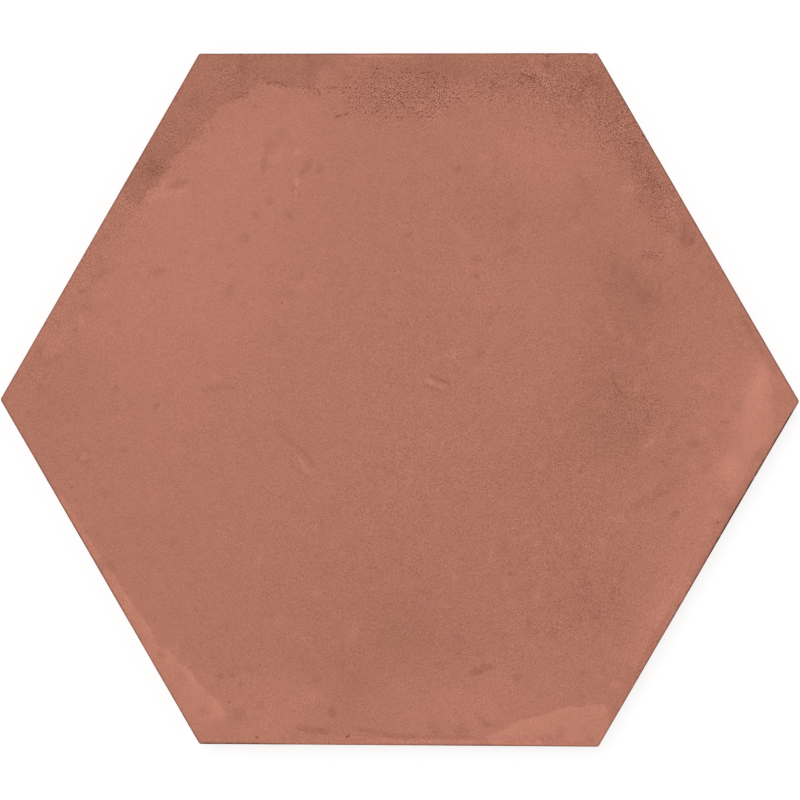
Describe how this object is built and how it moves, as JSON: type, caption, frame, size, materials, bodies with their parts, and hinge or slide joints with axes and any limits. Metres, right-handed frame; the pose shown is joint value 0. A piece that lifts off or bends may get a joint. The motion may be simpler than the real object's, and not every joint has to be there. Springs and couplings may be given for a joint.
{
  "type": "hexagon floor tile",
  "caption": "Flat hexagonal ceramic floor tile in matt terracotta, with a shallow honeycomb keying pattern pressed into its back.",
  "frame": {"origin": "middle of the tile's back, in the plane of its rib lands", "axes": "+Z out of the face that is walked on, +X to a corner, +Y square to an edge"},
  "size_m": [0.21, 0.182, 0.009],
  "materials": {
    "terracotta": "matte"
  },
  "bodies": {
    "root": {"hexagon_tile": "terracotta"}
  },
  "joints": []
}
